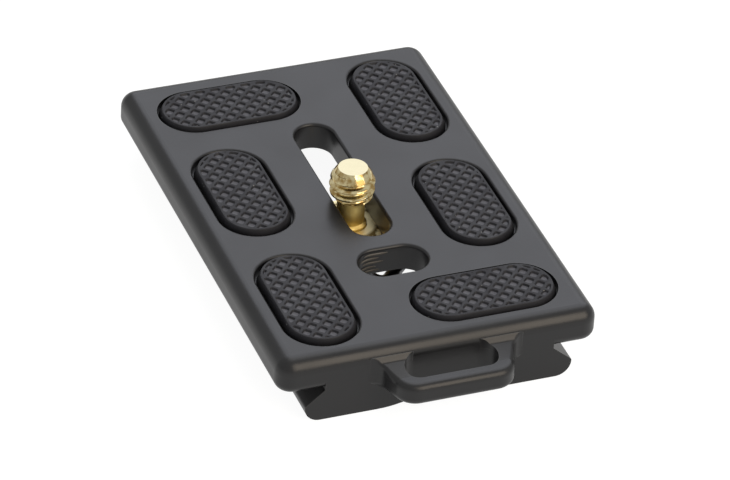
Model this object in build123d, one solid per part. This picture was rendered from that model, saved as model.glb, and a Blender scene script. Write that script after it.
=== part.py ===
from build123d import *
import math
import os

os.makedirs("parts", exist_ok=True)

# Plate: top face at z = 0 while it is built, width along X, back towards +Y
plate_width = 45.4
plate_length = 68.6
plate_height = 9.85        # top face to the bottoms of the dovetail rails
flange_thick = 5.1         # the wide upper plate that the pads sit in
flange_corner = 2.3        # plan corners
flange_top_round = 2.1     # soft cast edge all round the top face
flange_low_round = 1.4

# Dovetail that slides into a standard 38 mm clamp
dovetail_width = 38.0      # tip to tip
dovetail_undercut = 2.75   # how far the flank comes in from the tip
dovetail_rise = 2.3        # flank height, tip to flange
dovetail_low_round = 2.2
dovetail_tip_round = 0.35

# Underside hollow for the screw head, and the relief in its end walls
web_thick = 4.0            # metal left between the top face and the hollow
hollow_half_width = 10.6
hollow_end_wall = 5.0
hollow_corner = 3.0
hollow_edge_round = 0.8
relief_half_width = 8.7
relief_rise = 1.23

# Slots in the web
slot_width = 5.7           # long slot, the screw slides in it
slot_pad_gap = 2.45        # its back end to the back pad
slot_bar = 3.2             # metal left between the two slots
cross_length = 9.7         # short slot across the plate
cross_width = 6.0
cross_pad_gap = 2.4        # its front edge to the front pad
slot_edge_round = 0.45

# Strap loop on the front edge
loop_reach = 5.8
loop_shift = 0.7           # sits a little right of the centre line
loop_root_half = 9.6
loop_front_half = 7.7
loop_corner = 3.0
loop_flare = 2.0           # hollow corners where the arms meet the front wall
loop_top = -2.8
loop_thick = 3.2
loop_root_depth = 2.0      # how far it is sunk in the front wall
loop_edge_round = 1.0
loop_hole_length = 13.1
loop_hole_width = 3.86

# Rubber pads, six alike, in pockets laid out so that half a turn repeats them
pad_length = 20.4          # at the foot
pad_width = 10.0
pad_lean = 0.5             # how far the sides lean in on the way up
pad_proud = 0.45           # above the top face
pad_edge_bevel = 0.12
pad_rim = 0.35             # plain border of the top
pocket_depth = 1.0
pocket_gap = 0.2
pocket_edge_round = 0.45
pad_margin = 3.45          # plate edge to pad edge, before the shift below
pad_shift_y = -0.3         # the whole layout sits a little forward
pad_mid_nudge = 0.15       # middle pads, off the middle of the space left for them
pit_pitch = 1.59           # rows of pits at 45 degrees to the pad leave a net of ribs
pit_mouth = 1.2
pit_floor = 1.0
pit_depth = 0.22
pit_border = 0.3           # pit middles stay this far inside the plain border

# Camera screw, 1/4 inch
thread_dia = 6.35
thread_start = 0.4         # above the top face
thread_length = 3.1
tip_height = 1.7
tip_dia = 4.1
neck_dia = 4.6
head_dia = 11.0
head_thick = 1.3
boss_dia = 7.0
boss_length = 2.95
run_gap = 0.05             # running clearance, also between stacked faces
screw_x = -0.4             # stands a little to the left in its slot
screw_y = -0.55

# Washer between the head and the web
washer_dia = 11.0
washer_thick = 0.65

# Folding wire ring in the screw head
wire_dia = 1.9
ring_reach = 7.8           # screw axis to the far bar
ring_half_width = 4.9
ring_bend = 1.4
ring_drop = 1.4            # head underside to the pivot line
ring_stub = 1.2            # pivot ends stop this far from the axis
ring_angle = -45.0         # the way it points at rest, from +X
ring_table_gap = 0.1       # it hangs down to this far above the table

# Everything is built round the plate's centre, then set on its rails with
# the loop counted in, so that the whole part is centred over the origin
rest = Location((0, loop_reach / 2, plate_height))

half_length = plate_length / 2
back_pad_edge = half_length - pad_margin - pad_width
slot_back = back_pad_edge + pad_shift_y - slot_pad_gap
cross_mid_y = -back_pad_edge + pad_shift_y + cross_pad_gap + cross_width / 2
slot_front = cross_mid_y + cross_width / 2 + slot_bar
dovetail_half = dovetail_width / 2
root_half = dovetail_half - dovetail_undercut
tip_z = -flange_thick - dovetail_rise
low_z = -plate_height


def save(shape, node):
    export_step(rest * shape, f"parts/{node}.step")


def along_y(section, length):
    return extrude(Plane.XZ * section, length / 2, both=True)


def obround(length, width, lies_along):
    return Rot(0, 0, 90 if lies_along else 0) * SlotOverall(length, width)


# Flange with soft top edges
flange = extrude(RectangleRounded(plate_width, plate_length, flange_corner), -flange_thick)
flange = fillet(flange.faces().sort_by(Axis.Z)[-1].edges(), flange_top_round)
flange = fillet(flange.faces().sort_by(Axis.Z)[0].edges(), flange_low_round)

# Dovetail section, drawn on the front plane
section = Polygon(
    (-root_half, -flange_top_round),
    (root_half, -flange_top_round),
    (root_half, -flange_thick),
    (dovetail_half, tip_z),
    (dovetail_half, low_z),
    (-dovetail_half, low_z),
    (-dovetail_half, tip_z),
    (-root_half, -flange_thick),
    align=None,
)
section = fillet(section.vertices().group_by(Axis.Y)[0], dovetail_low_round)
tips = [v for v in section.vertices() if math.isclose(v.Y, tip_z)]
section = fillet(tips, dovetail_tip_round)
body = flange + along_y(section, plate_length)

# Hollow under the web
hollow = extrude(
    RectangleRounded(2 * hollow_half_width, plate_length - 2 * hollow_end_wall, hollow_corner),
    plate_height - web_thick,
)
hollow = fillet(hollow.faces().sort_by(Axis.Z)[-1].edges(), hollow_edge_round)
body -= Pos(0, 0, low_z) * hollow

# Shallow relief along the bottoms of the two end walls
mid_z = low_z + relief_rise / 2
left_foot = (-relief_half_width, low_z)
right_foot = (relief_half_width, low_z)
left_mid = (-relief_half_width / 2, mid_z)
right_mid = (relief_half_width / 2, mid_z)
arch = Curve() + [
    Line(right_foot, left_foot),
    TangentArc(left_foot, left_mid, tangent=(1, 0)),
    ThreePointArc(left_mid, (0, low_z + relief_rise), right_mid),
    TangentArc(right_foot, right_mid, tangent=(-1, 0)),
]
body -= along_y(make_face(arch), plate_length)

# Long slot and cross slot, open through the web
long_slot = Pos(0, (slot_back + slot_front) / 2) * obround(slot_back - slot_front, slot_width, True)
cross_slot = Pos(0, cross_mid_y) * obround(cross_length, cross_width, False)
body -= extrude(long_slot, -plate_height)
body -= extrude(cross_slot, -plate_height)
top_face = body.faces().sort_by(Axis.Z)[-1]
slot_rims = [edge for wire in top_face.inner_wires() for edge in wire.edges()]
body = fillet(slot_rims, slot_edge_round)

# Strap loop, sunk in the front wall
loop_sunk_half = loop_root_half + 2 * loop_flare
loop_plan = Polygon(
    (-loop_sunk_half, loop_root_depth),
    (-loop_sunk_half, 0),
    (-loop_root_half, 0),
    (-loop_front_half, -loop_reach),
    (loop_front_half, -loop_reach),
    (loop_root_half, 0),
    (loop_sunk_half, 0),
    (loop_sunk_half, loop_root_depth),
    align=None,
)
loop_plan = fillet(loop_plan.vertices().group_by(Axis.Y)[0], loop_corner)
roots = [v for v in loop_plan.vertices() if math.isclose(abs(v.X), loop_root_half)]
loop_plan = fillet(roots, loop_flare)
loop = extrude(loop_plan, -loop_thick)
loop_hole = Pos(0, -loop_hole_width / 2) * SlotOverall(loop_hole_length, loop_hole_width)
loop -= extrude(loop_hole, -loop_thick)
outer_rims = [e for e in loop.edges() if abs(e.tangent_at(0.5).Z) < 0.5 and e.center().Y < -loop_hole_width]
loop = fillet(outer_rims, loop_edge_round)
loop_place = Pos(loop_shift, -half_length, loop_top)
body += loop_place * loop
body -= loop_place * extrude(loop_hole, -loop_thick)

# Pads and their pockets: three on the left, the same three again half a turn round
across_x = plate_width / 2 - pad_margin - pad_length / 2
across_y = back_pad_edge + pad_width / 2
along_x = plate_width / 2 - pad_margin - pad_width / 2
along_end_y = half_length - pad_margin - pad_length / 2
along_mid_y = (pad_length - pad_width) / 2 + pad_mid_nudge
pad_middle = Pos(0, pad_shift_y)
back_left = Pos(-across_x, across_y)
mid_left = Pos(-along_x, along_mid_y) * Rot(0, 0, 90)
front_left = Pos(-along_x, -along_end_y) * Rot(0, 0, 90)
half_turn = Rot(0, 0, 180)
pad_places = {
    "pad_back_left": pad_middle * back_left,
    "pad_mid_left": pad_middle * mid_left,
    "pad_front_left": pad_middle * front_left,
    "pad_front_right": pad_middle * half_turn * back_left,
    "pad_mid_right": pad_middle * half_turn * mid_left,
    "pad_back_right": pad_middle * half_turn * front_left,
}
pocket_plan = SlotOverall(pad_length + 2 * pocket_gap, pad_width + 2 * pocket_gap)
pocket = extrude(pocket_plan, -pocket_depth)
for place in pad_places.values():
    body -= place * pocket
top_face = body.faces().filter_by(Axis.Z).sort_by(Axis.Z)[-1]
pocket_rims = [wire for wire in top_face.inner_wires() if abs(wire.center().X) > slot_width]
body = fillet([edge for wire in pocket_rims for edge in wire.edges()], pocket_edge_round)
save(body, "plate_body")

# One pad: sides that lean in, and rows of pits inside a plain border
pad_top_length = pad_length - 2 * pad_lean
pad_top_width = pad_width - 2 * pad_lean
pad_foot = Pos(0, 0, -pocket_depth) * SlotOverall(pad_length, pad_width)
pad = loft([pad_foot, Pos(0, 0, pad_proud) * SlotOverall(pad_top_length, pad_top_width)], ruled=True)
pad = chamfer(pad.faces().sort_by(Axis.Z)[-1].edges(), pad_edge_bevel)
pit_plan = Rot(0, 0, 45) * Rectangle(pit_mouth, pit_mouth)
pit_lean = math.degrees(math.atan((pit_mouth - pit_floor) / 2 / pit_depth))
pit = Pos(0, 0, pad_proud) * extrude(pit_plan, -pit_depth, taper=pit_lean)
field_plan = SlotOverall(pad_top_length - 2 * pad_rim, pad_top_width - 2 * pad_rim)
field = Pos(0, 0, pad_proud) * extrude(field_plan, -pit_depth)
diagonal = pit_pitch * math.sqrt(2)
straight = (pad_top_length - pad_top_width) / 2
pit_room = pad_top_width / 2 - pad_rim - pit_border
steps = math.ceil(pad_length / diagonal)
pits = []
for row in range(-2 * steps, 2 * steps + 1):
    for step in range(-steps, steps + 1):
        x = (step + (row % 2) / 2) * diagonal
        y = row * diagonal / 2
        beyond = max(abs(x) - straight, 0)
        if math.hypot(beyond, y) <= pit_room:
            pits.append(field & (Pos(x, y) * pit))
pad -= pits
for node, place in pad_places.items():
    save(place * pad, node)

# Washer, then the screw under it
screw_axis = Pos(screw_x, screw_y)
washer_top = -web_thick - run_gap
washer_low = washer_top - washer_thick
washer = Cylinder(washer_dia / 2, washer_thick) - Cylinder(neck_dia / 2 + run_gap, washer_thick)
save(screw_axis * Pos(0, 0, (washer_top + washer_low) / 2) * washer, "screw_washer")

head_top = washer_low - run_gap
head_low = head_top - head_thick
boss_low = head_low - boss_length
thread_top = thread_start + thread_length
outline = Polyline(
    (0, boss_low),
    (boss_dia / 2, boss_low),
    (boss_dia / 2, head_low),
    (head_dia / 2, head_low),
    (head_dia / 2, head_top),
    (neck_dia / 2, head_top),
    (neck_dia / 2, thread_start),
    (thread_dia / 2, thread_start),
    (thread_dia / 2, thread_top),
    (tip_dia / 2, thread_top + tip_height),
    (0, thread_top + tip_height),
    close=True,
)
screw = revolve(Plane.XZ * make_face(outline), Axis.Z)
pivot_z = head_low - ring_drop
pivot_hole = Rot(0, 0, ring_angle) * Pos(0, 0, pivot_z) * Rot(90, 0, 0) * Cylinder(
    wire_dia / 2 + run_gap, boss_dia
)
save(screw_axis * (screw - pivot_hole), "camera_screw")

# Ring: one wire, its ends turned in to the pivot hole
wire = FilletPolyline(
    (0, ring_stub),
    (0, ring_half_width),
    (ring_reach, ring_half_width),
    (ring_reach, -ring_half_width),
    (0, -ring_half_width),
    (0, -ring_stub),
    radius=ring_bend,
)
wire_end = Plane(origin=wire @ 0, z_dir=wire % 0)
ring = sweep(wire_end * Circle(wire_dia / 2), path=wire)
ring_fall = pivot_z - wire_dia / 2 - ring_table_gap - low_z
ring_droop = math.degrees(math.asin(ring_fall / ring_reach))
ring_place = screw_axis * Pos(0, 0, pivot_z) * Rot(0, 0, ring_angle) * Rot(0, ring_droop, 0)
save(ring_place * ring, "d_ring")
print(f"ring pivot {pivot_z - low_z:.3f} mm up, hangs {ring_droop:.2f} degrees below level")
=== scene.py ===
import math
import bmesh
import bpy
from mathutils import Matrix, Vector


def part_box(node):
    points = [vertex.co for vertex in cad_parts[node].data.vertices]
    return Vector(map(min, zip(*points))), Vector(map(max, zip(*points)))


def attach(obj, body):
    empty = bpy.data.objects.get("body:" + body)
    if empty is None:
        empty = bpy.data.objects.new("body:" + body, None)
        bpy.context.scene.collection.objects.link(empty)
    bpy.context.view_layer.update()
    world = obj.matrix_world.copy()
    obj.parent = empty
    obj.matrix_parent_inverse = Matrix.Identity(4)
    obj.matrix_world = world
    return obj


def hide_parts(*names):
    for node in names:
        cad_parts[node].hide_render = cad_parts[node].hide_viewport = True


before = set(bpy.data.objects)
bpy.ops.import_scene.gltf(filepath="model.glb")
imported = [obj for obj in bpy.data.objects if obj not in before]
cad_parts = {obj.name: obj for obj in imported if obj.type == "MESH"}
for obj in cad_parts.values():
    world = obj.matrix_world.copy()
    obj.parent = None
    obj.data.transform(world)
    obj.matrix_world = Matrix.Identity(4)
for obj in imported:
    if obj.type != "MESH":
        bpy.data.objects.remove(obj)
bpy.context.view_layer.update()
scene = bpy.context.scene
mm = 0.001


def hexLinear(code):  # sRGB hex to linear colour
    channels = [int(code[i:i + 2], 16) / 255 for i in (1, 3, 5)]
    return [c / 12.92 if c <= 0.04045 else ((c + 0.055) / 1.055) ** 2.4 for c in channels] + [1.0]


# One node with its options, socket values and links
# A colour Mix takes its share on socket 0 and its colours on 6 and 7, and gives the result on output 2
def addNode(tree, kind, settings=None, values=None, links=None):
    made = tree.nodes.new(kind)
    for name, value in (settings or {}).items():
        setattr(made, name, value)
    for socket, value in (values or {}).items():
        made.inputs[socket].default_value = value
    for socket, source in (links or {}).items():
        tree.links.new(source, made.inputs[socket])
    return made


def startMaterial(name):
    material = bpy.data.materials.new(name)
    material.use_nodes = True
    tree = material.node_tree
    return material, tree, tree.nodes["Principled BSDF"]


def perMm(size):  # texture scale for a pattern of that many millimetres
    return 1 / (size * mm)


noiseLow, noiseHigh = 0.3, 0.7  # most of a noise texture lies between these
waveTurn = 20                   # radians that a wave texture turns in one unit


# Satin black paint baked on die-cast aluminium: a soft wide sheen, faint orange peel, edges rubbed paler
paintLook = {
    "paint": "#18181a",
    "patch": "#1e1e1f",
    "rubbed": "#343433",
    "patchMm": 9.0,
    "patchDetail": 4.0,
    "peelMm": 0.55,
    "peelDetail": 2.0,
    "peelDepthMm": 0.012,
    "peelStrength": 0.35,
    "roughLow": 0.29,
    "roughHigh": 0.37,
    "edgeMm": 0.35,
    "edgeSamples": 8,
    "edgeStart": 0.995,       # how alike the face and its rounded edge are where the rubbing starts
    "edgeFull": 0.9,
    "edgeShare": 0.6,
}
ridgeHighlightPaintLook = dict(paintLook, paint="#5c5852", patch="#3a3835", rubbed="#8c867c")  # paler paint, a painted highlight for the light the ridges catch


def satinBlackPaint(name, look):
    material, tree, shader = startMaterial(name)
    place = addNode(tree, "ShaderNodeTexCoord").outputs["Object"]
    patch = addNode(tree, "ShaderNodeTexNoise", {},
                    {"Scale": perMm(look["patchMm"]), "Detail": look["patchDetail"]}, {"Vector": place})
    peel = addNode(tree, "ShaderNodeTexNoise", {},
                   {"Scale": perMm(look["peelMm"]), "Detail": look["peelDetail"]}, {"Vector": place})
    bevel = addNode(tree, "ShaderNodeBevel", {"samples": look["edgeSamples"]},
                    {"Radius": look["edgeMm"] * mm})
    surface = addNode(tree, "ShaderNodeNewGeometry")
    alike = addNode(tree, "ShaderNodeVectorMath", {"operation": "DOT_PRODUCT"}, {},
                    {0: bevel.outputs["Normal"], 1: surface.outputs["Normal"]})
    edge = addNode(tree, "ShaderNodeMapRange", {},
                   {"From Min": look["edgeStart"], "From Max": look["edgeFull"],
                    "To Max": look["edgeShare"]},
                   {"Value": alike.outputs["Value"]})
    base = addNode(tree, "ShaderNodeMix", {"data_type": "RGBA"},
                   {6: hexLinear(look["paint"]), 7: hexLinear(look["patch"])}, {0: patch.outputs["Fac"]})
    worn = addNode(tree, "ShaderNodeMix", {"data_type": "RGBA"}, {7: hexLinear(look["rubbed"])},
                   {0: edge.outputs["Result"], 6: base.outputs[2]})
    rough = addNode(tree, "ShaderNodeMapRange", {},
                    {"From Min": noiseLow, "From Max": noiseHigh,
                     "To Min": look["roughLow"], "To Max": look["roughHigh"]},
                    {"Value": patch.outputs["Fac"]})
    bump = addNode(tree, "ShaderNodeBump", {},
                   {"Strength": look["peelStrength"], "Distance": look["peelDepthMm"] * mm},
                   {"Height": peel.outputs["Fac"]})
    tree.links.new(worn.outputs[2], shader.inputs["Base Color"])
    tree.links.new(rough.outputs["Result"], shader.inputs["Roughness"])
    tree.links.new(bump.outputs["Normal"], shader.inputs["Normal"])
    return material


# Black moulded rubber: dull, fine grain from the mould, a painted highlight on the level pit floors and a
# few bright specks
rubberLook = {
    "rubber": "#1b1b1f",
    "faded": "#24242a",
    "fadeMm": 3.0,
    "fadeDetail": 4.0,
    "grainMm": 0.12,
    "grainDetail": 2.0,
    "grainDepthMm": 0.012,
    "grainStrength": 0.4,
    "speck": "#8a8a86",
    "speckMm": 1.6,           # from one speck to the next
    "speckStart": 0.07,       # a speck's reach, in shares of that
    "speckFull": 0.045,
    "speckShare": 0.7,
    "pitFloorHighlight": "#58585e",
    "highlightStartMm": 10.12,     # height above the table where the painted highlight on the pit floors starts, and where it is full
    "highlightFullMm": 10.05,
    "levelStart": 0.8,        # how level a face is where the painted highlight starts, and where it is full
    "levelFull": 0.98,
    "roughLow": 0.54,
    "roughHigh": 0.74,
}


def mouldedRubber(look):
    material, tree, shader = startMaterial("mouldedRubber")
    place = addNode(tree, "ShaderNodeTexCoord").outputs["Object"]
    fade = addNode(tree, "ShaderNodeTexNoise", {},
                   {"Scale": perMm(look["fadeMm"]), "Detail": look["fadeDetail"]}, {"Vector": place})
    grain = addNode(tree, "ShaderNodeTexNoise", {},
                    {"Scale": perMm(look["grainMm"]), "Detail": look["grainDetail"]}, {"Vector": place})
    spread = addNode(tree, "ShaderNodeTexVoronoi", {}, {"Scale": perMm(look["speckMm"])}, {"Vector": place})
    speck = addNode(tree, "ShaderNodeMapRange", {},
                    {"From Min": look["speckStart"], "From Max": look["speckFull"],
                     "To Max": look["speckShare"]},
                    {"Value": spread.outputs["Distance"]})
    base = addNode(tree, "ShaderNodeMix", {"data_type": "RGBA"},
                   {6: hexLinear(look["rubber"]), 7: hexLinear(look["faded"])}, {0: fade.outputs["Fac"]})
    specked = addNode(tree, "ShaderNodeMix", {"data_type": "RGBA"}, {7: hexLinear(look["speck"])},
                      {0: speck.outputs["Result"], 6: base.outputs[2]})
    rough = addNode(tree, "ShaderNodeMapRange", {},
                    {"From Min": noiseLow, "From Max": noiseHigh,
                     "To Min": look["roughLow"], "To Max": look["roughHigh"]},
                    {"Value": fade.outputs["Fac"]})
    bump = addNode(tree, "ShaderNodeBump", {},
                   {"Strength": look["grainStrength"], "Distance": look["grainDepthMm"] * mm},
                   {"Height": grain.outputs["Fac"]})
    height = addNode(tree, "ShaderNodeSeparateXYZ", {}, {}, {"Vector": place}).outputs["Z"]
    deep = addNode(tree, "ShaderNodeMapRange", {},
                   {"From Min": look["highlightStartMm"] * mm, "From Max": look["highlightFullMm"] * mm},
                   {"Value": height})
    facing = addNode(tree, "ShaderNodeNewGeometry").outputs["Normal"]
    upward = addNode(tree, "ShaderNodeSeparateXYZ", {}, {}, {"Vector": facing}).outputs["Z"]
    level = addNode(tree, "ShaderNodeMapRange", {},
                    {"From Min": look["levelStart"], "From Max": look["levelFull"]}, {"Value": upward})
    floorHighlightShare = addNode(tree, "ShaderNodeMath", {"operation": "MULTIPLY"}, {},
                    {0: deep.outputs["Result"], 1: level.outputs["Result"]})
    # level pit floors made paler: a painted highlight for the light they catch
    floorHighlighted = addNode(tree, "ShaderNodeMix", {"data_type": "RGBA"}, {7: hexLinear(look["pitFloorHighlight"])},
                    {0: floorHighlightShare.outputs["Value"], 6: specked.outputs[2]})
    tree.links.new(floorHighlighted.outputs[2], shader.inputs["Base Color"])
    tree.links.new(rough.outputs["Result"], shader.inputs["Roughness"])
    tree.links.new(bump.outputs["Normal"], shader.inputs["Normal"])
    return material


# Bright turned brass: polished thread, and a neck whose lathe rings draw its highlights out along the axis;
# the neck's brighter gold is a painted highlight and the flat end's paler tone a painted reflection
brassLook = {
    "brass": "#eedfae",
    "paleEndReflection": "#c7be9d",       # the flat end, paler: a painted reflection of the light above
    "facedFull": 0.97,        # how level a face is to count as that end, and where it no longer does
    "facedNone": 0.9,
    "neck": "#ffe08c",        # brighter gold: a painted highlight for light that hardly reaches down the slot
    "tarnish": "#b0935a",
    "tarnishMm": 0.9,
    "tarnishDetail": 5.0,
    "tarnishStart": 0.4,
    "tarnishFull": 0.6,
    "ringMm": 1.005,          # real lathe rings are finer, drawn this coarse to show
    "ringWander": 1.5,
    "ringDetail": 2.0,
    "ringDepthMm": 0.004,
    "ringStrength": 0.3,
    "roughLow": 0.1,
    "roughHigh": 0.22,
    "neckRough": 0.34,        # added on the neck
    "drawnOut": 0.9,
    "neckTopMm": 10.1,
    "neckFadeMm": 0.1,
}


def turnedBrass(look):
    material, tree, shader = startMaterial("turnedBrass")
    place = addNode(tree, "ShaderNodeTexCoord").outputs["Object"]
    tarnish = addNode(tree, "ShaderNodeTexNoise", {},
                      {"Scale": perMm(look["tarnishMm"]), "Detail": look["tarnishDetail"]},
                      {"Vector": place})
    lathe = addNode(tree, "ShaderNodeTexWave", {"bands_direction": "Z"},
                    {"Scale": perMm(look["ringMm"]) * math.tau / waveTurn,
                     "Distortion": look["ringWander"], "Detail": look["ringDetail"]},
                    {"Vector": place})
    facing = addNode(tree, "ShaderNodeNewGeometry").outputs["Normal"]
    upward = addNode(tree, "ShaderNodeSeparateXYZ", {}, {}, {"Vector": facing}).outputs["Z"]
    side = addNode(tree, "ShaderNodeMapRange", {},
                   {"From Min": look["facedFull"], "From Max": look["facedNone"]}, {"Value": upward})
    patch = addNode(tree, "ShaderNodeMapRange", {},
                    {"From Min": look["tarnishStart"], "From Max": look["tarnishFull"]},
                    {"Value": tarnish.outputs["Fac"]})
    handled = addNode(tree, "ShaderNodeMath", {"operation": "MULTIPLY"}, {},
                      {0: side.outputs["Result"], 1: patch.outputs["Result"]})
    thread = addNode(tree, "ShaderNodeMix", {"data_type": "RGBA"},
                     {6: hexLinear(look["brass"]), 7: hexLinear(look["tarnish"])},
                     {0: handled.outputs["Value"]})
    # faces that point up take the paler tone, a painted reflection
    ended = addNode(tree, "ShaderNodeMix", {"data_type": "RGBA"}, {6: hexLinear(look["paleEndReflection"])},
                    {0: side.outputs["Result"], 7: thread.outputs[2]})
    rough = addNode(tree, "ShaderNodeMapRange", {},
                    {"To Min": look["roughLow"], "To Max": look["roughHigh"]},
                    {"Value": patch.outputs["Result"]})
    bump = addNode(tree, "ShaderNodeBump", {},
                   {"Strength": look["ringStrength"], "Distance": look["ringDepthMm"] * mm},
                   {"Height": lathe.outputs["Fac"]})
    height = addNode(tree, "ShaderNodeSeparateXYZ", {}, {}, {"Vector": place}).outputs["Z"]
    drawn = addNode(tree, "ShaderNodeMapRange", {},
                    {"From Min": (look["neckTopMm"] + look["neckFadeMm"]) * mm,
                     "From Max": (look["neckTopMm"] - look["neckFadeMm"]) * mm,
                     "To Max": look["drawnOut"]},
                    {"Value": height})
    neckRough = addNode(tree, "ShaderNodeMath", {"operation": "MULTIPLY_ADD"},
                        {1: look["neckRough"] / look["drawnOut"]},
                        {0: drawn.outputs["Result"], 2: rough.outputs["Result"]})
    # brighter gold neck colour: a painted highlight for the light the neck lacks in the slot
    base = addNode(tree, "ShaderNodeMix", {"data_type": "RGBA"}, {7: hexLinear(look["neck"])},
                   {0: drawn.outputs["Result"], 6: ended.outputs[2]})
    around = addNode(tree, "ShaderNodeTangent", {"direction_type": "RADIAL", "axis": "Z"})
    shader.inputs["Metallic"].default_value = 1.0
    tree.links.new(drawn.outputs["Result"], shader.inputs["Anisotropic"])
    tree.links.new(around.outputs["Tangent"], shader.inputs["Tangent"])
    tree.links.new(base.outputs[2], shader.inputs["Base Color"])
    tree.links.new(neckRough.outputs["Value"], shader.inputs["Roughness"])
    tree.links.new(bump.outputs["Normal"], shader.inputs["Normal"])
    return material


# Brass washer: a dark satin skin that is painted shade for the slot's shade it lies in, rubbed bright in
# patches, and a painted highlight ringing the screw where light reaches down
shadedWasherLook = {
    "shadeDark": "#6e5c34",
    "bare": "#f0e2b4",
    "rubMm": 1.3,
    "rubDetail": 5.0,
    "rubStart": 0.48,
    "rubFull": 0.56,
    "grainMm": 0.18,
    "grainDepthMm": 0.02,
    "grainStrength": 0.4,
    "rough": 0.42,
    "litRingInMm": 3.3,          # painted highlight ring reaches this far from the screw's axis
    "litRingOutMm": 3.8,
    "litRingShare": 0.85,
}


def shadedWasherBrass(look, middle):
    material, tree, shader = startMaterial("shadedWasherBrass")
    place = addNode(tree, "ShaderNodeTexCoord").outputs["Object"]
    rub = addNode(tree, "ShaderNodeTexNoise", {},
                  {"Scale": perMm(look["rubMm"]), "Detail": look["rubDetail"]}, {"Vector": place})
    grain = addNode(tree, "ShaderNodeTexNoise", {}, {"Scale": perMm(look["grainMm"])}, {"Vector": place})
    bare = addNode(tree, "ShaderNodeMapRange", {},
                   {"From Min": look["rubStart"], "From Max": look["rubFull"]},
                   {"Value": rub.outputs["Fac"]})
    away = addNode(tree, "ShaderNodeVectorMath", {"operation": "DISTANCE"}, {1: middle}, {0: place})
    worn = addNode(tree, "ShaderNodeMapRange", {},
                   {"From Min": look["litRingOutMm"] * mm, "From Max": look["litRingInMm"] * mm,
                    "To Max": look["litRingShare"]},
                   {"Value": away.outputs["Value"]})
    shown = addNode(tree, "ShaderNodeMath", {"operation": "MAXIMUM"}, {},
                    {0: bare.outputs["Result"], 1: worn.outputs["Result"]})
    # dark skin is painted shade; the bright ring near the screw is a painted highlight
    base = addNode(tree, "ShaderNodeMix", {"data_type": "RGBA"},
                   {6: hexLinear(look["shadeDark"]), 7: hexLinear(look["bare"])}, {0: shown.outputs["Value"]})
    bump = addNode(tree, "ShaderNodeBump", {},
                   {"Strength": look["grainStrength"], "Distance": look["grainDepthMm"] * mm},
                   {"Height": grain.outputs["Fac"]})
    shader.inputs["Metallic"].default_value = 1.0
    shader.inputs["Roughness"].default_value = look["rough"]
    tree.links.new(base.outputs[2], shader.inputs["Base Color"])
    tree.links.new(bump.outputs["Normal"], shader.inputs["Normal"])
    return material


# Blackened steel wire: dark oxide, drawn smooth, rubbed to grey here and there
wireLook = {
    "oxide": "#3a3a3c",
    "steel": "#8b8b8c",
    "rubMm": 1.1,
    "rubDetail": 6.0,
    "rubStart": 0.55,
    "rubFull": 0.75,
    "grainMm": 0.14,
    "grainDepthMm": 0.006,
    "grainStrength": 0.3,
    "roughOxide": 0.42,
    "roughSteel": 0.28,
}


def blackenedSteel(look):
    material, tree, shader = startMaterial("blackenedSteel")
    place = addNode(tree, "ShaderNodeTexCoord").outputs["Object"]
    rub = addNode(tree, "ShaderNodeTexNoise", {},
                  {"Scale": perMm(look["rubMm"]), "Detail": look["rubDetail"]}, {"Vector": place})
    grain = addNode(tree, "ShaderNodeTexNoise", {}, {"Scale": perMm(look["grainMm"])}, {"Vector": place})
    bare = addNode(tree, "ShaderNodeMapRange", {},
                   {"From Min": look["rubStart"], "From Max": look["rubFull"]},
                   {"Value": rub.outputs["Fac"]})
    base = addNode(tree, "ShaderNodeMix", {"data_type": "RGBA"},
                   {6: hexLinear(look["oxide"]), 7: hexLinear(look["steel"])}, {0: bare.outputs["Result"]})
    rough = addNode(tree, "ShaderNodeMapRange", {},
                    {"To Min": look["roughOxide"], "To Max": look["roughSteel"]},
                    {"Value": rub.outputs["Fac"]})
    bump = addNode(tree, "ShaderNodeBump", {},
                   {"Strength": look["grainStrength"], "Distance": look["grainDepthMm"] * mm},
                   {"Height": grain.outputs["Fac"]})
    shader.inputs["Metallic"].default_value = 1.0
    tree.links.new(base.outputs[2], shader.inputs["Base Color"])
    tree.links.new(rough.outputs["Result"], shader.inputs["Roughness"])
    tree.links.new(bump.outputs["Normal"], shader.inputs["Normal"])
    return material


washerLow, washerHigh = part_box("screw_washer")
washerMiddle = ((washerLow.x + washerHigh.x) / 2, (washerLow.y + washerHigh.y) / 2, washerHigh.z)
paint = satinBlackPaint("satinBlackPaint", paintLook)
# paler paint for the cast ridges: a painted highlight
ridgeHighlightPaint = satinBlackPaint("paintedRidgeHighlight", ridgeHighlightPaintLook)
rubber = mouldedRubber(rubberLook)
brass = turnedBrass(brassLook)
shadedWasher = shadedWasherBrass(shadedWasherLook, washerMiddle)
steel = blackenedSteel(wireLook)
print("materials:", len(bpy.data.materials))


def dress(node, material):  # a finish for a CAD node's own slots
    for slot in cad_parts[node].material_slots:
        slot.material = material


dress("plate_body", paint)
dress("screw_washer", shadedWasher)
dress("d_ring", steel)


def addPiece(name, mesh, material, body, replaced):
    piece = bpy.data.objects.new(name, mesh)
    scene.collection.objects.link(piece)
    mesh.materials.clear()
    mesh.materials.append(material)
    for face in mesh.polygons:
        face.use_smooth = True
    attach(piece, body)
    for node in replaced:
        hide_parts(node)
    return piece


weldGap = 1e-4 * mm           # points closer than this are one
sliverEdge = 1e-5 * mm


def weld(form):  # joins what meets and turns the faces outward
    bmesh.ops.remove_doubles(form, verts=form.verts, dist=weldGap)
    bmesh.ops.dissolve_degenerate(form, edges=form.edges, dist=sliverEdge)
    bmesh.ops.recalc_face_normals(form, faces=form.faces)


def intoMesh(form, name):
    mesh = bpy.data.meshes.new(name)
    form.to_mesh(mesh)
    form.free()
    return mesh


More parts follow.
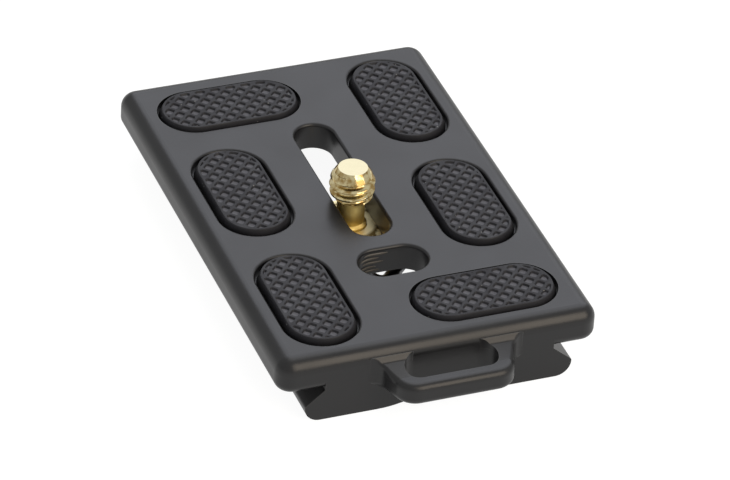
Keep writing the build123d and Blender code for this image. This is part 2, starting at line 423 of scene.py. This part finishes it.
def ringMesh(name, rings):  # skin between closed rings of equally many points
    form = bmesh.new()
    loops = [[form.verts.new(point) for point in ring] for ring in rings]
    count = len(rings[0])
    for low, high in zip(loops, loops[1:]):
        for i in range(count):
            j = (i + 1) % count
            form.faces.new((low[i], low[j], high[j], high[i]))
    weld(form)
    return intoMesh(form, name)


def smoothStep(t):
    t = min(max(t, 0.0), 1.0)
    return t * t * (3 - 2 * t)


# Rubber pads, moulded: leaning sides, and rows of steep square pits at 45 degrees inside a plain border
padShape = {
    "lean": 0.50 * mm,        # the sides come in this far on the way up
    "edgeRound": 0.12 * mm,
    "edgeSteps": 3,
    "rim": 0.23 * mm,         # plain border inside the rounded edge
    "rimFade": 0.10 * mm,
    "pitch": 1.59 * mm,
    "mouth": 1.22 * mm,       # width of a pit at the top, the rest of the pitch is rib
    "floor": 0.96 * mm,
    "depth": 0.30 * mm,
    "corner": 5.0,            # power of the rounded square: higher is squarer
    "step": 0.07 * mm,
    "shift": {                # where the rows of each pad begin, in shares of the pitch
        "pad_back_left": (0.34, -0.03),
        "pad_mid_left": (-0.30, -0.08),
        "pad_front_left": (0.42, 0.10),
        "pad_front_right": (0.06, -0.18),
        "pad_mid_right": (-0.46, -0.38),
        "pad_back_right": (0.10, -0.26),
    },
}


def pitDrop(x, y, shift, shape):
    pitch, corner = shape["pitch"], shape["corner"]
    p = (x + y) / math.sqrt(2) / pitch - shift[0]
    q = (x - y) / math.sqrt(2) / pitch - shift[1]
    sideP = abs(p - round(p)) * pitch
    sideQ = abs(q - round(q)) * pitch
    away = (sideP ** corner + sideQ ** corner) ** (1 / corner)
    return shape["depth"] * smoothStep((shape["mouth"] / 2 - away) * 2 / (shape["mouth"] - shape["floor"]))


def padRings(length, width, low, high, along, shift, shape):
    radius = width / 2
    straight = length / 2 - radius
    arcSteps = round(math.pi * radius / shape["step"])
    lineSteps = round(2 * straight / shape["step"])
    spokes = []               # point on the middle line, and the way out from it
    for side in (1, -1):
        for i in range(arcSteps):
            turn = math.pi * (i / arcSteps - 0.5)
            spokes.append((side * straight, side * math.cos(turn), side * math.sin(turn)))
        for i in range(lineSteps):
            spokes.append((side * straight * (1 - 2 * i / lineSteps), 0.0, float(side)))
    edgeRound = shape["edgeRound"]
    flatReach = radius - shape["lean"] - edgeRound
    pitReach = flatReach - shape["rim"]
    flatSteps = round(flatReach / shape["step"])
    levels = [(flatReach * k / flatSteps, 0.0) for k in range(flatSteps + 1)]
    for k in range(1, shape["edgeSteps"] + 1):
        turn = math.pi / 2 * k / shape["edgeSteps"]
        levels.append((flatReach + edgeRound * math.sin(turn), edgeRound * (1 - math.cos(turn))))
    levels.append((radius, high - low))
    levels.append((0.0, high - low))
    rings = []
    for out, drop in levels:
        flat = [(x + dx * out, dy * out) for x, dx, dy in spokes]
        if along:
            flat = [(-y, x) for x, y in flat]
        share = 0.0 if drop else smoothStep((pitReach - out) / shape["rimFade"])
        rings.append([(x, y, high - drop - share * pitDrop(x, y, shift, shape)) for x, y in flat])
    return rings


padNodes = sorted(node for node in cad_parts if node.startswith("pad_"))
for node in padNodes:
    low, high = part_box(node)
    across, deep = high.x - low.x, high.y - low.y
    rings = padRings(max(across, deep), min(across, deep), low.z, high.z, deep > across,
                     padShape["shift"][node], padShape)
    mesh = ringMesh("rubberPad", rings)
    mesh.transform(Matrix.Translation(((low.x + high.x) / 2, (low.y + high.y) / 2, 0)))
    addPiece("rubber_" + node, mesh, rubber, "plate", [node])
print("pads:", len(padNodes))


# Brass camera screw: 1/4 inch thread of 20 turns to the inch, round-nosed, on a thin neck above its head
screwShape = {
    "pitch": 25.4 / 20 * mm,
    "threadDia": 6.35 * mm,
    "threadDepth": 0.74 * mm,
    "threadStart": 10.25 * mm,
    "tipDia": 4.1 * mm,
    "noseHeight": 2.2 * mm,
    "nosePower": 1.8,         # 1 is a plain cone, higher is rounder
    "endDia": 5.6 * mm,       # thread at its lower end
    "endTaper": 1.4 * mm,
    "endChamfer": 0.25 * mm,
    "crestDrop": 2.37 * mm,   # a crest lies this far below the top
    "crestTurn": 247.5,       # where it does, in degrees from +X
    "neckDia": 3.9 * mm,
    "footDia": 4.6 * mm,      # in the washer
    "footTop": 6.1 * mm,
    "footFlare": 0.35 * mm,
    "headTop": 5.1 * mm,
    "headLow": 3.8 * mm,
    "headDia": 11.0 * mm,
    "bossDia": 7.0 * mm,
    "chamfer": 0.25 * mm,
    "pivotHoleDia": 2.0 * mm,
    "pivotHeight": 2.4 * mm,
    "pivotTurn": 45.0,
    "pivotSides": 48,
    "pivotSpin": 2.3,         # keeps the hole's corners off the screw's own edges
    "turnSteps": 160,
    "pitchSteps": 16,
    "sharpAngle": 38.0,
}


def screwReach(z, top, shape):  # widest the thread may be at that height
    full = shape["threadDia"] / 2
    tip = shape["tipDia"] / 2
    end = shape["endDia"] / 2
    neck = shape["neckDia"] / 2
    left = max(1 - (top - z) / shape["noseHeight"], 0.0)
    nose = tip + (full - tip) * (1 - left ** shape["nosePower"])
    rise = z - shape["threadStart"]
    taper = end + (full - end) * rise / shape["endTaper"]
    chamfer = neck + (end - neck) * rise / shape["endChamfer"]
    return min(nose, taper, chamfer, full)


def aroundAxis(form, axis, radius, z, turn):
    return form.verts.new((axis.x + radius * math.cos(turn), axis.y + radius * math.sin(turn), z))


def threadSkin(form, axis, top, shape):
    steps, perTurn, pitch = shape["turnSteps"], shape["pitchSteps"], shape["pitch"]
    start = shape["threadStart"]
    root = shape["threadDia"] / 2 - shape["threadDepth"]
    crest = top - shape["crestDrop"] - pitch * shape["crestTurn"] / 360
    crest -= pitch * (math.ceil((crest - start) / pitch) + 1)
    rows = perTurn * (math.ceil((top - crest) / pitch) + 1)
    columns = []
    for i in range(steps):
        column = []
        for k in range(rows):
            z = min(max(crest + pitch * (i / steps + k / perTurn), start), top)
            share = abs(2 * (k % perTurn) / perTurn - 1)      # 1 on a crest, 0 in a root
            radius = min(root + shape["threadDepth"] * smoothStep(share), screwReach(z, top, shape))
            column.append(aroundAxis(form, axis, radius, z, 2 * math.pi * i / steps))
        columns.append(column)
    for i in range(steps):
        shift = perTurn if i == steps - 1 else 0
        near, far = columns[i], columns[(i + 1) % steps]
        for k in range(rows - 1 - shift):
            form.faces.new((near[k], far[k + shift], far[k + 1 + shift], near[k + 1]))


def turnedSkin(form, axis, outline, steps):
    loops = []
    for radius, z in outline:
        loops.append([aroundAxis(form, axis, radius, z, 2 * math.pi * i / steps) for i in range(steps)])
    for upper, under in zip(loops, loops[1:]):
        for i in range(steps):
            j = (i + 1) % steps
            form.faces.new((upper[i], under[i], under[j], upper[j]))


def screwMesh(axis, top, low, shape):
    bevel = shape["chamfer"]
    neck, foot = shape["neckDia"] / 2, shape["footDia"] / 2
    head, boss, tip = shape["headDia"] / 2, shape["bossDia"] / 2, shape["tipDia"] / 2
    form = bmesh.new()
    threadSkin(form, axis, top, shape)
    turnedSkin(form, axis, [(tip, top), (tip / 2, top), (0.0, top)], shape["turnSteps"])
    turnedSkin(form, axis, [
        (neck, shape["threadStart"]),
        (neck, shape["footTop"] + shape["footFlare"]),
        (foot, shape["footTop"]),
        (foot, shape["headTop"]),
        (head - bevel, shape["headTop"]),
        (head, shape["headTop"] - bevel),
        (head, shape["headLow"] + bevel),
        (head - bevel, shape["headLow"]),
        (boss, shape["headLow"]),
        (boss, low + bevel),
        (boss - bevel, low),
        (0.0, low),
    ], shape["turnSteps"])
    weld(form)
    return intoMesh(form, "brassScrew")


def pivotCutter(axis, shape):
    form = bmesh.new()
    radius = shape["pivotHoleDia"] / 2
    bmesh.ops.create_cone(form, cap_ends=True, segments=shape["pivotSides"], radius1=radius, radius2=radius,
                          depth=shape["headDia"])
    lie = Matrix.Rotation(math.radians(shape["pivotTurn"]), 4, "Z") @ Matrix.Rotation(math.pi / 2, 4, "Y")
    spin = Matrix.Rotation(math.radians(shape["pivotSpin"]), 4, "Z")
    form.transform(Matrix.Translation((axis.x, axis.y, shape["pivotHeight"])) @ lie @ spin)
    return intoMesh(form, "pivotCutter")


def cutAway(mesh, tool):  # mesh less the tool's solid
    pair = [bpy.data.objects.new(data.name, data) for data in (mesh, tool)]
    for each in pair:
        scene.collection.objects.link(each)
    cut = pair[0].modifiers.new("cut", "BOOLEAN")
    cut.object = pair[1]
    cut.solver = "EXACT"
    result = bpy.data.meshes.new_from_object(pair[0].evaluated_get(bpy.context.evaluated_depsgraph_get()))
    for each in pair:
        bpy.data.objects.remove(each)
    return result


screwLow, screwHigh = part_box("camera_screw")
screwAxis = (screwLow + screwHigh) / 2
screwBlank = screwMesh(screwAxis, screwHigh.z, screwLow.z, screwShape)
screwPiece = addPiece("brass_camera_screw", cutAway(screwBlank, pivotCutter(screwAxis, screwShape)), brass,
                      "screw", ["camera_screw"])
screwPiece.data.set_sharp_from_angle(angle=math.radians(screwShape["sharpAngle"]))
print("screw:", len(screwPiece.data.polygons), "faces")


# Strap loop's arms: their tops rise towards the front wall and run into it in a hollow
armShape = {
    "wall": -31.4 * mm,
    "top": 7.05 * mm,
    "middle": 0.7 * mm,
    "rootHalf": 9.6 * mm,
    "lean": 1.9 / 5.8,        # the arms come in this much for each mm of reach
    "flare": 2.0 * mm,
    "flareAlong": 1.453 * mm,  # from the corner to where the hollow corner starts on the wall
    "flareOut": 1.381 * mm,   # and to where it ends on the arm
    "holeHalf": 6.55 * mm,
    "holeRound": 1.93 * mm,
    "rise": 1.02 * mm,
    "risePower": 1.15,
    "run": 3.4 * mm,
    "lipSlope": 1.1,          # the lip is steep at the wall, then hollow
    "lipSteep": 0.29 * mm,
    "lipRun": 0.68 * mm,
    "rootRound": 0.45 * mm,   # the outer edge is crisper at the wall than at the bar
    "barRound": 1.0 * mm,
    "edgeSteps": 8,
    "sunk": 0.1 * mm,
    "inset": 0.02 * mm,       # inside the cast arm's own sides
    "steps": 60,
    "stepPower": 1.6,         # the steps are closer at the wall
    "sharpAngle": 35.0,
}


def armEdges(out, shape):  # how far the arm's two edges are from the loop's middle
    flare, holeRound = shape["flare"], shape["holeRound"]
    if out < shape["flareOut"]:
        outer = shape["rootHalf"] + shape["flareAlong"] - math.sqrt(flare ** 2 - (flare - out) ** 2)
    else:
        outer = shape["rootHalf"] - shape["lean"] * out
    inner = shape["holeHalf"] - holeRound
    inner += math.sqrt(max(0.0, holeRound ** 2 - (out - holeRound) ** 2))
    return outer - shape["inset"], inner + shape["inset"]


def armLevel(out, shape):
    level = shape["top"] - shape["inset"] + shape["rise"] * (1 - out / shape["run"]) ** shape["risePower"]
    hollow = shape["lipRun"] - shape["lipSteep"]
    level += shape["lipSlope"] / hollow / 2 * min(hollow, max(0.0, shape["lipRun"] - out)) ** 2
    return level + shape["lipSlope"] * max(0.0, shape["lipSteep"] - out)


def armRings(side, shape):
    base = shape["top"] - shape["sunk"]
    rings = []
    for i in range(shape["steps"] + 1):
        out = shape["run"] * (i / shape["steps"]) ** shape["stepPower"]
        outer, inner = armEdges(out, shape)
        level = armLevel(out, shape)
        radius = shape["rootRound"] + (shape["barRound"] - shape["rootRound"]) * (out / shape["run"]) ** 2
        section = [(inner, base), (outer, base - shape["barRound"])]
        for k in range(shape["edgeSteps"] + 1):
            turn = math.pi / 2 * k / shape["edgeSteps"]
            section.append((outer - radius * (1 - math.cos(turn)), level - radius * (1 - math.sin(turn))))
        section.append((inner, level))
        y = shape["wall"] - out if i else shape["wall"] + shape["sunk"]
        rings.append([(shape["middle"] + side * x, y, z) for x, z in section])
    count = len(rings[0])
    ends = [[sum(point[k] for point in ring) / count for k in range(3)] for ring in (rings[0], rings[-1])]
    return [[ends[0]] * count] + rings + [[ends[1]] * count]


armSides = {"left": -1, "right": 1}
for name, side in armSides.items():
    armMesh = ringMesh("loopArm", armRings(side, armShape))
    armMesh.set_sharp_from_angle(angle=math.radians(armShape["sharpAngle"]))
    addPiece("loop_arm_" + name, armMesh, paint, "plate", [])
print("arms:", len(armSides))


# Ridges left by the casting core in the far left of the cross slot
ridgeShape = {
    "middle": (-1.85 * mm, -12.85 * mm),
    "radius": 3.0 * mm,
    "runs": (                 # height, then where it starts in the round end and stops on the straight wall
        (9.00 * mm, -1.7 * mm, 2.6 * mm),
        (8.35 * mm, -2.3 * mm, 1.2 * mm),
        (7.70 * mm, -1.9 * mm, 1.9 * mm),
        (7.00 * mm, -2.6 * mm, 0.9 * mm),
        (6.40 * mm, -1.9 * mm, 1.4 * mm),
    ),
    "halfHeight": 0.30 * mm,
    "proud": 0.30 * mm,
    "sunk": 0.15 * mm,
    "swellPower": 0.6,        # lower is blunter at the ends
    "steps": 36,
}


def ridgeRings(run, shape):
    height, start, stop = run
    deep = shape["radius"] + shape["sunk"]
    rings = []
    for i in range(shape["steps"] + 1):
        share = i / shape["steps"]
        along = start + (stop - start) * share
        turn = math.pi / 2 - min(0.0, along) / shape["radius"]
        swell = math.sin(math.pi * share) ** shape["swellPower"]
        section = [(deep, -1.0), (deep - (shape["proud"] + shape["sunk"]) * swell, 0.0), (deep, 1.0)]
        rings.append([(shape["middle"][0] + max(0.0, along) + out * math.cos(turn),
                       shape["middle"][1] + out * math.sin(turn),
                       height + level * swell * shape["halfHeight"]) for out, level in section])
    return rings


for number, run in enumerate(ridgeShape["runs"], 1):
    ridgeMesh = ringMesh("castRidge", ridgeRings(run, ridgeShape))
    # the ridges wear the paler paint, a painted highlight for the light they catch
    addPiece("cast_ridge_" + str(number), ridgeMesh, ridgeHighlightPaint, "plate", [])
print("ridges:", len(ridgeShape["runs"]))


# Pale floor: plain white card, kept white to the eye, a little less in reflections, darkened by the shadow
floorLook = {
    "card": "#747472",
    "rough": 0.9,
    "specular": 0.1,
    "glow": "#ffffff",
    "ownWhite": 0.93,
    "mirrorShare": 0.75,
    "radius": 2.5,
    "sides": 96,
}


def whiteCard(look):
    material, tree, shader = startMaterial("whiteCard")
    path = addNode(tree, "ShaderNodeLightPath")
    mirrored = addNode(tree, "ShaderNodeMath", {"operation": "MAXIMUM"}, {},
                       {0: path.outputs["Is Glossy Ray"], 1: path.outputs["Is Transmission Ray"]})
    seen = addNode(tree, "ShaderNodeMath", {"operation": "MULTIPLY_ADD"}, {1: look["mirrorShare"]},
                   {0: mirrored.outputs["Value"], 2: path.outputs["Is Camera Ray"]})
    glow = addNode(tree, "ShaderNodeMath", {"operation": "MULTIPLY"}, {1: look["ownWhite"]},
                   {0: seen.outputs["Value"]})
    shader.inputs["Base Color"].default_value = hexLinear(look["card"])
    shader.inputs["Roughness"].default_value = look["rough"]
    shader.inputs["Specular IOR Level"].default_value = look["specular"]
    shader.inputs["Emission Color"].default_value = hexLinear(look["glow"])
    tree.links.new(glow.outputs["Value"], shader.inputs["Emission Strength"])
    return material


floorForm = bmesh.new()
bmesh.ops.create_circle(floorForm, cap_ends=True, segments=floorLook["sides"], radius=floorLook["radius"])
floorMesh = intoMesh(floorForm, "floor")
floorMesh.materials.append(whiteCard(floorLook))
floor = bpy.data.objects.new("floor", floorMesh)
scene.collection.objects.link(floor)

# Soft studio light: a dim even dome, wide boxes behind and in front on the right, a small one high behind
domeLook = {"tint": "#ffffff", "glow": 0.54}
softBoxes = [
    {"name": "backBox", "azimuth": 61, "elevation": 42, "away": 1.0, "size": (0.98, 0.82), "glow": 1.29,
     "tint": "#f1f4ff"},
    {"name": "frontBox", "azimuth": -63, "elevation": 34, "away": 1.0, "size": (0.75, 0.75), "glow": 2.6,
     "tint": "#ffefda"},
    {"name": "topBox", "azimuth": 61, "elevation": 75, "away": 1.0, "size": (0.50, 0.44), "glow": 1.2,
     "tint": "#ffffff"},
]

world = bpy.data.worlds.new("studio")
scene.world = world
world.use_nodes = True
world.node_tree.nodes["Background"].inputs["Color"].default_value = hexLinear(domeLook["tint"])
world.node_tree.nodes["Background"].inputs["Strength"].default_value = domeLook["glow"]
for box in softBoxes:
    turn, rise = math.radians(box["azimuth"]), math.radians(box["elevation"])
    aside = Vector((math.cos(turn) * math.cos(rise), math.sin(turn) * math.cos(rise), math.sin(rise)))
    lamp = bpy.data.lights.new(box["name"], "AREA")
    lamp.shape = "RECTANGLE"
    lamp.size, lamp.size_y = box["size"]
    lamp.energy = box["glow"] * math.pi * lamp.size * lamp.size_y
    lamp.color = hexLinear(box["tint"])[:3]
    lampObject = bpy.data.objects.new(box["name"], lamp)
    lampObject.location = aside * box["away"]
    lampObject.rotation_mode = "QUATERNION"
    lampObject.rotation_quaternion = (-aside).to_track_quat("-Z", "Y")
    scene.collection.objects.link(lampObject)
print("stage: floor and", len(softBoxes), "boxes")

# Camera: a long lens from the front left, above, tipped a little
cameraShape = {
    "lens": 253.0,
    "sensor": 36.0,
    "azimuth": -22.46,
    "elevation": 35.20,
    "roll": 3.53,
    "distance": 0.7032,
    "aim": (0.60 * mm, -1.06 * mm, 4.98 * mm),
    "farthest": 20.0,
}


def aimCamera(shape):
    turn = math.radians(shape["azimuth"])
    rise = math.radians(shape["elevation"])
    lean = math.radians(shape["roll"])
    back = Vector((math.sin(turn) * math.cos(rise), -math.cos(turn) * math.cos(rise), math.sin(rise)))
    level = Vector((math.cos(turn), math.sin(turn), 0))
    upright = back.cross(level)
    right = level * math.cos(lean) + upright * math.sin(lean)
    above = back.cross(right)
    camera = bpy.data.objects.new("camera", bpy.data.cameras.new("camera"))
    camera.data.lens = shape["lens"]
    camera.data.sensor_width = shape["sensor"]
    camera.data.clip_end = shape["farthest"]
    pose = Matrix((right, above, back)).transposed().to_4x4()
    pose.translation = Vector(shape["aim"]) + back * shape["distance"]
    camera.matrix_world = pose
    scene.collection.objects.link(camera)
    return camera


scene.camera = aimCamera(cameraShape)
scene.view_settings.view_transform = "Standard"
print("camera set")
